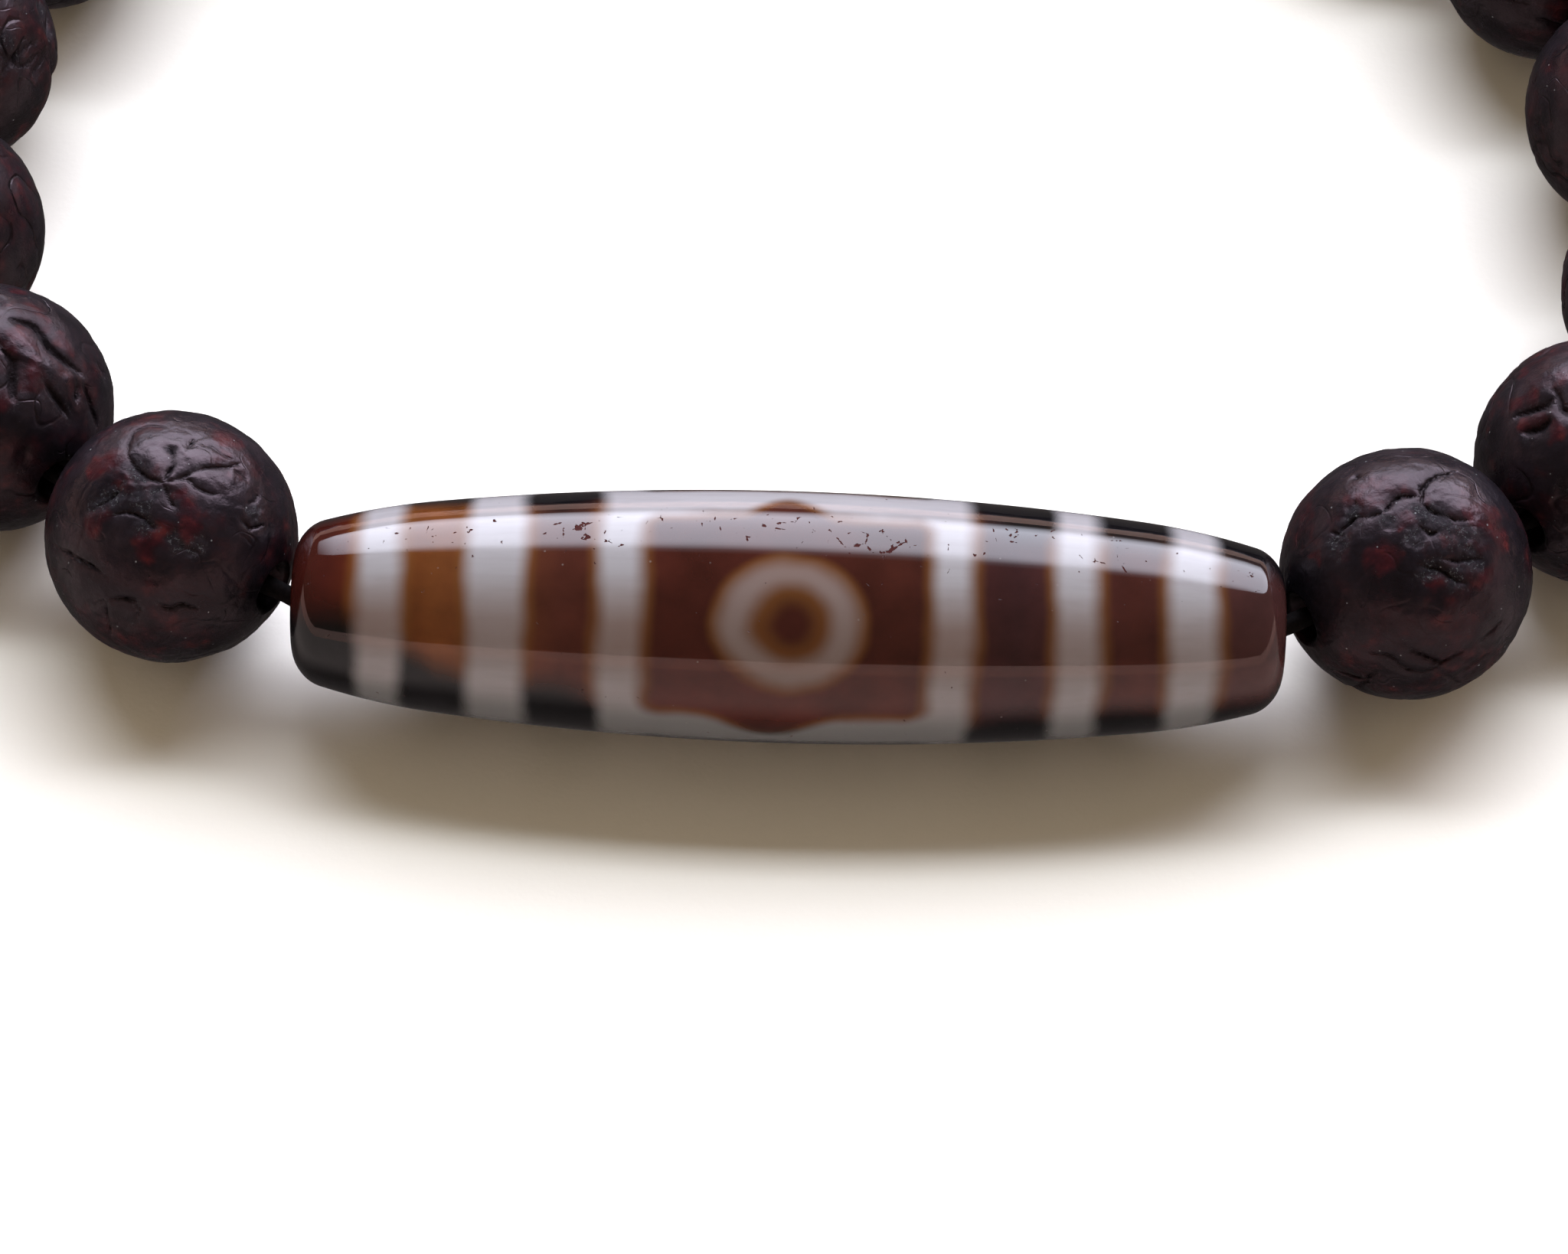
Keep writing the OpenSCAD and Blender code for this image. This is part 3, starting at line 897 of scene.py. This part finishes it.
def shape_seed(seed, name, axes, rng):
    """Moves the vertices of a drilled seed, centred at the origin, into creases, lobes and wrinkles."""
    nearest_two = name in SEEN_DUSTY
    if nearest_two:
        # Strays are grown only on the undersides of the nearest two, which the photo doesn't show
        shrunk_most = NEAREST_SHRUNK
        rows = grown_creases(rng, axes, arms=0, strays=5, strays_from=100)
    else:
        shrunk_most = SEEN_SHRUNK if name in SEEN_CREASES else 1
        rows = grown_creases(rng, axes, arms=6, strays=9, strays_from=40)
    for depth, half_width, points in SEEN_CREASES.get(name, []):
        directions = [seed_direction(axes, away, around) for away, around in points]
        rows.append((depth, half_width, directions))
    grown_worn = [(rng.uniform(8, 70), rng.uniform(0, 360), rng.uniform(0.3, 0.8)) for i in range(12)]
    grown_dusty = [(rng.uniform(2, 60), rng.uniform(0, 360), rng.uniform(0.3, 0.6)) for i in range(9)]
    worn_places = spots(axes, SEEN_WORN.get(name, grown_worn))
    dusty_places = spots(axes, SEEN_DUSTY.get(name, grown_dusty))
    tree, sizes = crease_tree(rows)
    offset = Vector([rng.uniform(-90, 90) for axis in range(3)])
    marks = {mark: [] for mark in SEED_MARKS}
    for vertex in seed.data.vertices:
        place = vertex.co / MM
        if place.length < SEED_R - EDGE_SLACK:
            for mark, value in zip(SEED_MARKS, BORE_MARKS):
                marks[mark].append(value)
            continue
        direction = place.normalized()
        wander = noise.noise_vector(direction * 5 + offset) * CREASE_WANDER
        fray = noise.noise_vector(direction * 19) * CREASE_FRAY
        ragged = direction * SEED_R + (wander + fray)
        nearest, index, distance = tree.find(ragged)
        depth, half_width = sizes[index]
        # A narrow slit inside a rounded valley
        slit = math.exp(-(distance / (0.5 * half_width)) ** 2)
        valley = math.exp(-distance / (2 * half_width))
        crease = depth * (0.5 * slit + 0.75 * valley)
        # Wrinkles wind over the skin where it has shrunk most
        shrunk = shrunk_most * smooth_share(noise.noise(direction * 1.6 - offset), -0.1, 0.4)
        winding = noise.noise(ragged * 0.6 + offset) * WINDING_STEP
        wrinkle_depth = SMOOTH_WRINKLE_DEPTH * shrunk_most + WRINKLE_DEPTH * shrunk
        wrinkle = wrinkle_depth * math.exp(-abs(winding) / WRINKLE_HALF_WIDTH)
        blotted = ragged + noise.noise_vector(direction * 8 - offset) * BLOT_WANDER
        worn, dusty = spot_share(blotted, worn_places), spot_share(blotted, dusty_places)
        lobes = LOBE_HEIGHT * noise.noise(direction * 3.2 + offset)
        knobs = KNOB_HEIGHT * noise.noise(direction * 8 - offset)
        grain = GRAIN_HEIGHT * noise.noise(direction * 17)
        pores = (PORE_HEIGHT + DUSTY_PORE_HEIGHT * dusty) * noise.noise(direction * 23 + offset)
        sunk = min(crease + wrinkle + DUSTY_DEPTH * dusty, DEEPEST)
        radius = min(HIGHEST_R, SEED_R + lobes + knobs + grain + pores - sunk)
        vertex.co = direction * radius * MM
        gap = min(FARTHEST_GAP, distance / half_width)
        values = (gap, depth / FULL_DEPTH, winding, shrunk, min(1, sunk / FULL_DEPTH), worn, dusty)
        for mark, value in zip(SEED_MARKS, values):
            marks[mark].append(value)
    for mark, values in marks.items():
        seed.data.attributes.new(mark, "FLOAT", "POINT").data.foreach_set("value", values)


def seed_shell():
    """Dried seed shell, dark with oil and handling: satin, worn red on its lobes, dusty in its creases."""
    material, tree = new_material("oiled_seed_shell")
    place = add(tree, "TexCoord").outputs["Object"]
    gap, depth, winding, shrunk, sunken, worn, dusty = (
        add(tree, "Attribute", attribute_name=mark).outputs["Fac"] for mark in SEED_MARKS)
    # Dark lines along the bottoms of the creases, and hair-thin wrinkles all over, drawn near black as
    # grime and painted shade
    grain = add(tree, "TexNoise", place, Scale=6 / MM, Detail=4, Roughness=0.6)
    frayed_gap = add(tree, "Math", grain, 0.5, gap, operation="MULTIPLY_ADD")
    crease_line = add(tree, "MapRange", frayed_gap, 0.35, 1.05, 1.0, 0.0, **SMOOTH)
    strong_depth = add(tree, "Math", depth, 1.4, operation="MULTIPLY", use_clamp=True)
    crease = add(tree, "Math", crease_line, strong_depth, operation="MULTIPLY")
    winding_gap = add(tree, "Math", winding, operation="ABSOLUTE")
    winding_line = add(tree, "MapRange", winding_gap, 0.0, 0.08, 1.0, 0.0, **SMOOTH)
    winding_crease = add(tree, "Math", winding_line, shrunk, operation="MULTIPLY")
    hair_field = add(tree, "TexNoise", place, Scale=0.4 / MM, Detail=1)
    hair_gap = distance_from(tree, hair_field, 0.5)
    hair_line = add(tree, "MapRange", hair_gap, 0.0, 0.011, 1.0, 0.0, **SMOOTH)
    hair_zone_field = add(tree, "TexNoise", place, Scale=0.45 / MM, Detail=2)
    hair_zone = add(tree, "MapRange", hair_zone_field, 0.5, 0.64, 0.0, 0.4, **SMOOTH)
    hair = add(tree, "Math", hair_line, hair_zone, operation="MULTIPLY")
    wide_lines = add(tree, "Math", crease, winding_crease, operation="MAXIMUM")
    lines = add(tree, "Math", wide_lines, hair, operation="MAXIMUM")

    # Mottling a millimetre or two across
    mottle = add(tree, "TexNoise", place, Scale=0.6 / MM, Detail=4)
    plum = add(tree, "ValToRGB", mottle)
    fill_ramp(plum, [(0.3, "#0f0d11"), (0.5, "#171419"), (0.72, "#241d22")])
    flecks = add(tree, "TexNoise", place, Scale=1.6 / MM, Detail=3)
    ragged_worn = add(tree, "Math", flecks, 1.0, -0.5, operation="MULTIPLY_ADD")
    # A fainter red shows through over wide patches between the worn places
    wide_patches = add(tree, "TexNoise", place, Scale=0.32 / MM, Detail=2)
    stain = add(tree, "MapRange", wide_patches, 0.4, 0.62, 0.0, 0.5, **SMOOTH)
    worn_here = add(tree, "Math", worn, stain, operation="MAXIMUM")
    worn_edge = add(tree, "Math", worn_here, ragged_worn, operation="ADD")
    worn_share = add(tree, "MapRange", worn_edge, 0.12, 1.05, 0.0, 0.85, **SMOOTH)
    reds = add(tree, "ValToRGB", flecks)
    fill_ramp(reds, [(0.35, "#240b10"), (0.55, "#341117"), (0.72, "#4c1d1d")])
    shell = add(tree, "Mix", worn_share, A=plum, B=reds, data_type="RGBA")
    # Painted shade: the sunken ground around the creases, and inside the bores, is drawn darker
    sunken_shade = add(tree, "MapRange", sunken, 0.1, 0.7, 0.0, 0.85)
    shaded = add(tree, "Mix", sunken_shade, A=shell, B=linear("#0b0b0e"), data_type="RGBA")
    # Dust grains a tenth of a millimetre across, a few drawn pale as painted glints, and single specks
    # anywhere
    grains = add(tree, "TexNoise", place, Scale=9 / MM, Detail=3, Roughness=0.65)
    dusty_grains = add(tree, "Math", grains, dusty, operation="MULTIPLY")
    dust = add(tree, "MapRange", dusty_grains, 0.15, 0.5, 0.0, 0.8)
    dusty_shell = add(tree, "Mix", dust, A=shaded, B=linear("#141519"), data_type="RGBA")
    # Painted highlights: a few of the dusty grains are drawn pale as glints
    glint = add(tree, "MapRange", dusty_grains, 0.6, 0.7, 0.0, 0.4)
    # Frayed skin stands up in short pale threads where the dust has caught
    fray_field = add(tree, "TexNoise", place, Scale=1.5 / MM, Detail=4, Roughness=0.7)
    fray_gap = distance_from(tree, fray_field, 0.5)
    fray_line = add(tree, "MapRange", fray_gap, 0.0, 0.03, 1.0, 0.0)
    fray_break = add(tree, "MapRange", grains, 0.48, 0.62, 0.0, 0.5)
    broken_fray = add(tree, "Math", fray_line, fray_break, operation="MULTIPLY")
    near_crease = add(tree, "MapRange", gap, 1.0, 3.0, 0.3, 0.0)
    fray_zone = add(tree, "Math", dusty, near_crease, operation="MAXIMUM")
    fray = add(tree, "Math", broken_fray, fray_zone, operation="MULTIPLY")
    specks = add(tree, "TexVoronoi", place, Scale=1.4 / MM)
    speck = add(tree, "MapRange", specks.outputs["Distance"], 0.04, 0.06, 1.0, 0.0)
    bright_grain = add(tree, "Math", glint, speck, operation="MAXIMUM")
    bright = add(tree, "Math", bright_grain, fray, operation="MAXIMUM")
    glinting = add(tree, "Mix", bright, A=dusty_shell, B=linear("#737578"), data_type="RGBA")
    # Grime and painted shade: the lines are drawn near black
    colour = add(tree, "Mix", lines, A=glinting, B=linear("#050405"), data_type="RGBA")

    patches = add(tree, "TexNoise", place, Scale=0.5 / MM, Detail=2)
    satin = add(tree, "MapRange", patches, 0.3, 0.7, 0.24, 0.36)
    dulled = add(tree, "Math", sunken, 0.45, satin, operation="MULTIPLY_ADD")
    rough = add(tree, "Mix", dust, A=dulled, B=1.0)
    pebbles = add(tree, "TexNoise", place, Scale=2.4 / MM, Detail=3, Roughness=0.55)
    coarse_grain = add(tree, "Math", pebbles, 1.6, fray, operation="MULTIPLY_ADD")
    all_grain = add(tree, "Math", grain, 0.8, coarse_grain, operation="MULTIPLY_ADD")
    height = add(tree, "Math", lines, -3.5, all_grain, operation="MULTIPLY_ADD")
    skin = add(tree, "Bump", Height=height, Strength=1.0, Distance=0.018 * MM)
    # Handling has left the gloss in patches, and grime gives it a plum cast
    gloss_patches = add(tree, "TexNoise", place, Scale=0.45 / MM, Detail=3)
    gloss = add(tree, "MapRange", gloss_patches, 0.35, 0.65, 0.27, 0.46)
    shell_surface = add(tree, "BsdfPrincipled", Base_Color=colour, Roughness=rough, IOR=1.5, Normal=skin,
                        Specular_IOR_Level=gloss)
    shell_surface.inputs["Specular Tint"].default_value = (1.0, 0.72, 0.80, 1)
    add(tree, "OutputMaterial", shell_surface)
    return material


def make_seeds(places):
    masters = {
        segments: model_drilled_seed(f"drilled_seed_{segments}", segments)
        for segments in sorted({PLAIN_SEGMENTS, *SEED_SEGMENTS.values()})
    }
    finish = seed_shell()
    # Unless it is set, the clock starts the noise vectors, and the seeds differ a little at each run
    noise.seed_set(NOISE_SEED)
    for number, (name, (centre, bore)) in enumerate(zip(SEED_NAMES, places), start=1):
        master = masters[SEED_SEGMENTS.get(name, PLAIN_SEGMENTS)]
        seed = master.copy()
        seed.data = master.data.copy()
        seed.name = f"wrinkled_{name}"
        bpy.context.scene.collection.objects.link(seed)
        seed.data.transform(Matrix.Rotation(math.atan2(bore.y, bore.x), 4, "Z"))
        shape_seed(seed, name, star_axes(name, bore), random.Random(number))
        seed.data.transform(Matrix.Translation(centre * MM))
        make_active(seed)
        bpy.ops.object.shade_smooth_by_angle(angle=math.radians(60))
        finish_piece(seed, finish, "seed", name)
    for master in masters.values():
        bpy.data.objects.remove(master)


places = loop_places()
make_seeds(places)


# Cord

# Sides of the cord, its step along the route, its strands, the length of their turn and their relief
CORD_SIDES = 20
CORD_STEP = 0.3
STRANDS = 4
STRAND_TURN = 2.4
STRAND_RELIEF = 0.04


def cord_route(places):
    """Corners of the cord's run: straight through every bore, then across to the next one."""
    middle = BEAD_CENTRE / MM
    along = Vector((BEAD_HOLD, 0, 0))
    route = [middle + along]
    for centre, bore in places:
        route += [centre - bore * SEED_HOLD, centre + bore * SEED_HOLD]
    return route + [middle - along]


def make_cord(places):
    """Elastic cord of twisted strands, swept around the closed route."""
    route = cord_route(places)
    rings = []
    for start, end in zip(route, route[1:] + route[:1]):
        count = max(2, round((end - start).length / CORD_STEP))
        for k in range(count):
            rings.append(start.lerp(end, k / count))
    length = sum((b - a).length for a, b in zip(rings, rings[1:] + rings[:1]))
    turns = round(length / STRAND_TURN)
    points, faces = [], []
    for i, here in enumerate(rings):
        ahead = (rings[(i + 1) % len(rings)] - rings[i - 1]).normalized()
        across = ahead.cross(Vector((0, 0, 1)))
        twist = 2 * math.pi * turns * i / len(rings)
        for k in range(CORD_SIDES):
            angle = 2 * math.pi * k / CORD_SIDES
            lobe = 0.5 - 0.5 * math.cos(STRANDS * angle + twist)
            r = CORD_R - STRAND_RELIEF * lobe
            point = here + across * (r * math.cos(angle)) + Vector((0, 0, r * math.sin(angle)))
            points.append(point * MM)
            ring = i * CORD_SIDES
            next_ring = (i + 1) % len(rings) * CORD_SIDES
            next_side = (k + 1) % CORD_SIDES
            faces.append((ring + k, ring + next_side, next_ring + next_side, next_ring + k))
    mesh = bpy.data.meshes.new("twisted_elastic_cord")
    mesh.from_pydata(points, [], faces)
    cord = bpy.data.objects.new("twisted_elastic_cord", mesh)
    bpy.context.scene.collection.objects.link(cord)
    make_active(cord)
    bpy.ops.object.mode_set(mode="EDIT")
    bpy.ops.mesh.select_all(action="SELECT")
    bpy.ops.mesh.normals_make_consistent(inside=False)
    bpy.ops.object.mode_set(mode="OBJECT")
    bpy.ops.object.shade_smooth()
    return cord


def elastic_thread():
    """Polyester-wrapped elastic, dark brown drawn near black as painted shade: fine fuzzy strands with a
    soft sheen.
    """
    material, tree = new_material("wrapped_elastic")
    place = add(tree, "TexCoord").outputs["Object"]
    fibres = add(tree, "TexNoise", place, Scale=8 / MM, Detail=3)
    # Painted shade: the browns are darker than the thread's own, for the shade between the beads and in the
    # bores
    browns = add(tree, "ValToRGB", fibres)
    fill_ramp(browns, [(0.35, "#080506"), (0.65, "#110b0b")])
    fuzz = add(tree, "Bump", Height=fibres, Strength=0.5, Distance=0.03 * MM)
    thread = add(tree, "BsdfPrincipled", Base_Color=browns, Roughness=0.8, Normal=fuzz)
    thread.inputs["Specular IOR Level"].default_value = 0.15
    add(tree, "OutputMaterial", thread)
    return material


finish_piece(make_cord(places), elastic_thread(), "cord", "elastic_cord")
